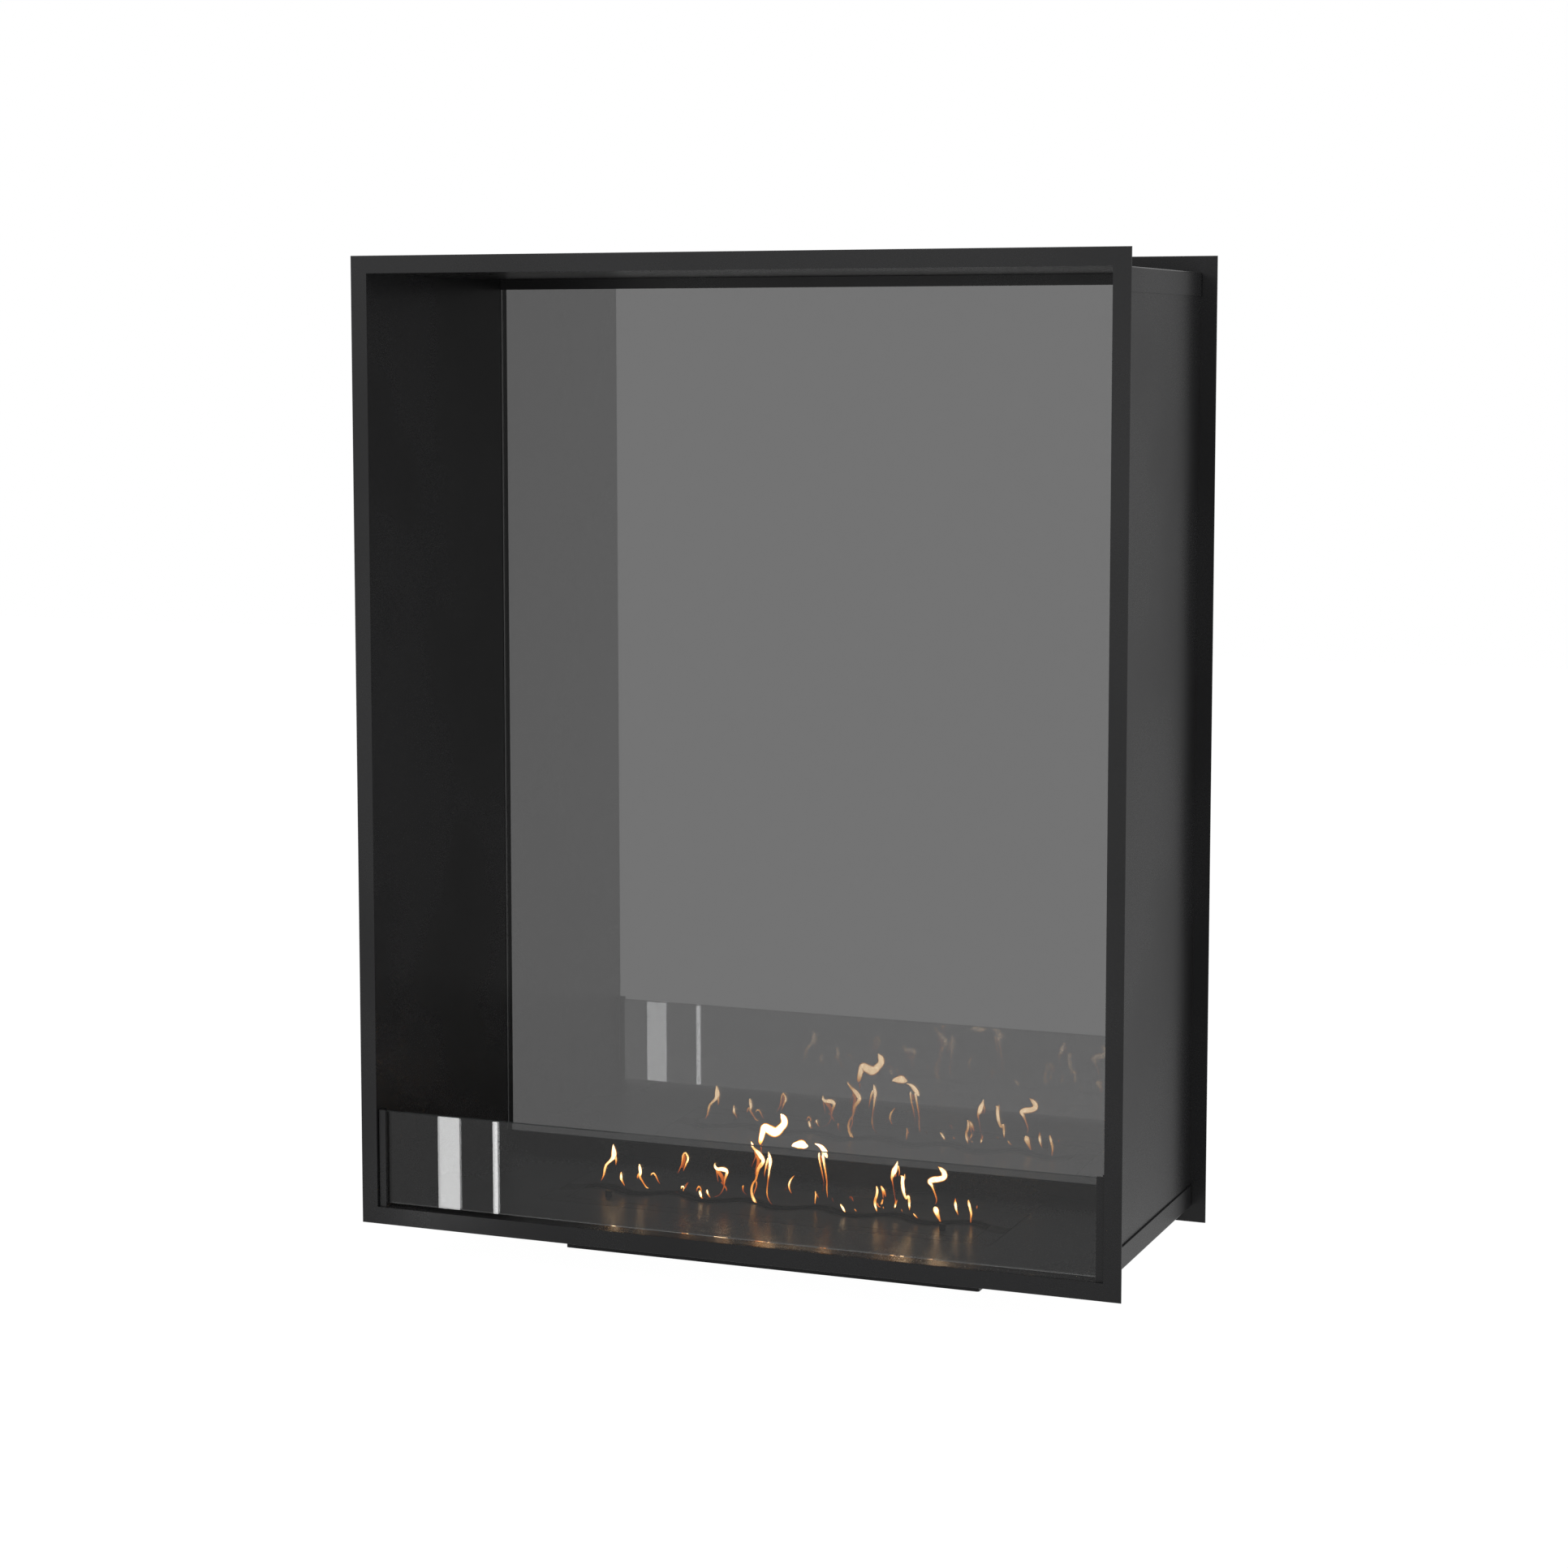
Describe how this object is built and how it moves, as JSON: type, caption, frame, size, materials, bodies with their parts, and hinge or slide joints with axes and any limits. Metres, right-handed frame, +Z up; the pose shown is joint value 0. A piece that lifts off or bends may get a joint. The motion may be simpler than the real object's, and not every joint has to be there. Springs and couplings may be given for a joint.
{
  "type": "bioethanol fireplace",
  "caption": "See-through built-in bioethanol fireplace: steel firebox between flat frames, smoked rear pane, low front guard pane, flush floor burner with a sliding wavy shutter lid.",
  "frame": {"origin": "middle of the outline on plan, at the level of the tank's underside, the lowest point", "axes": "+Z up; +Y from the front with the guard pane to the back with the smoked pane; +X to the right seen from the front"},
  "size_m": [0.941, 0.3696, 1.1937],
  "materials": {
    "powder_coat": "fine-textured matt anthracite powder coat on sheet steel",
    "burner_coat": "satin heat-proof anthracite coat",
    "knob_coat": "satin anthracite on turned steel",
    "smoked_glass": "smoked toughened glass, polished edges",
    "tinted_glass": "lightly tinted toughened glass, polished edges",
    "stainless_steel": "mill-finish stainless sheet",
    "zinc_plated_steel": "zinc plated",
    "black_rivets": "black blind rivets",
    "silicone": "black heat-proof silicone",
    "ceramic_wool": "white ceramic fibre"
  },
  "bodies": {
    "casing": {"front_frame": "powder_coat", "rear_frame": "powder_coat", "left_side_panel": "powder_coat", "right_side_panel": "powder_coat", "top_pan": "powder_coat", "base_tray": "powder_coat", "burner_support_frame": "powder_coat", "rear_pane": "smoked_glass", "rear_header": "powder_coat", "rear_rail": "powder_coat", "header_seal": "silicone", "rail_seal": "silicone", "header_rivets": "black_rivets", "rail_rivets": "black_rivets", "left_glass_post": "powder_coat", "right_glass_post": "powder_coat", "left_post_pad": "silicone", "right_post_pad": "silicone", "left_post_screw": "zinc_plated_steel", "right_post_screw": "zinc_plated_steel"},
    "guard": {"front_guard_pane": "tinted_glass", "left_edge_strip": "silicone", "right_edge_strip": "silicone"},
    "burner": {"burner_top_plate": "burner_coat", "burner_deck": "burner_coat", "overflow_tray": "burner_coat", "tank_spacers": "stainless_steel", "fuel_tank": "stainless_steel", "ceramic_wool": "ceramic_wool", "wool_grid": "stainless_steel"},
    "shutter": {"shutter_lid": "burner_coat", "left_knob": "knob_coat", "right_knob": "knob_coat"}
  },
  "joints": [
    {"name": "guard_lift", "type": "slide", "parent": "casing", "child": "guard", "axis": [0, 0, 1], "range_m": [0, 0.118]},
    {"name": "burner_lift", "type": "slide", "parent": "casing", "child": "burner", "axis": [0, 0, 1], "range_m": [0, 0.075]},
    {"name": "shutter_slide", "type": "slide", "parent": "burner", "child": "shutter", "axis": [0, 1, 0], "range_m": [0, 0.0207]}
  ]
}
